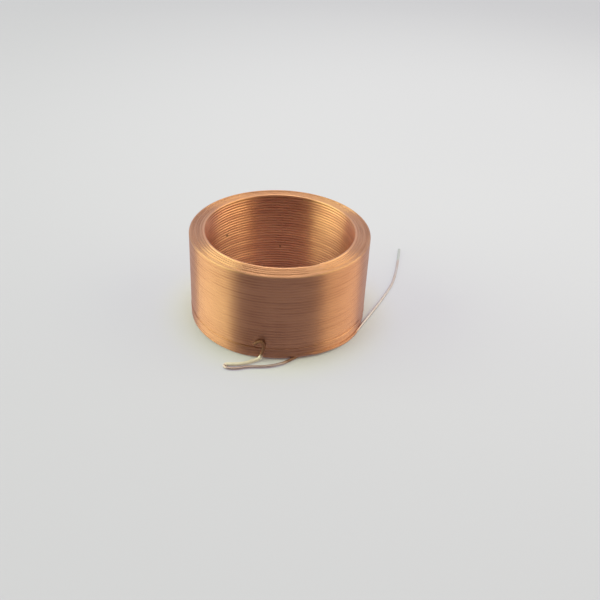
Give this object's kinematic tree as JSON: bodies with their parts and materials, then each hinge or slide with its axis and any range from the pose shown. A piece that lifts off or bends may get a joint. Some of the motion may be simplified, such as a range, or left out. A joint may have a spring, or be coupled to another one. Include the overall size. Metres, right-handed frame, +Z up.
{
  "type": "air core inductor",
  "caption": "Self-supporting air core inductor: a ring of bonded enamelled copper wire with two free wire ends.",
  "frame": {"origin": "centre of the coil's bottom end, on the bore's axis, in the plane that the coil stands on", "axes": "+Z up along the bore's axis; -Y towards the side where the start lead lies as a hairpin; the finish lead leaves towards +X and +Y"},
  "size_m": [0.0155, 0.0164, 0.0063],
  "materials": {
    "enamelled_copper": "gloss"
  },
  "bodies": {
    "root": {"coil": "enamelled_copper"}
  },
  "joints": []
}
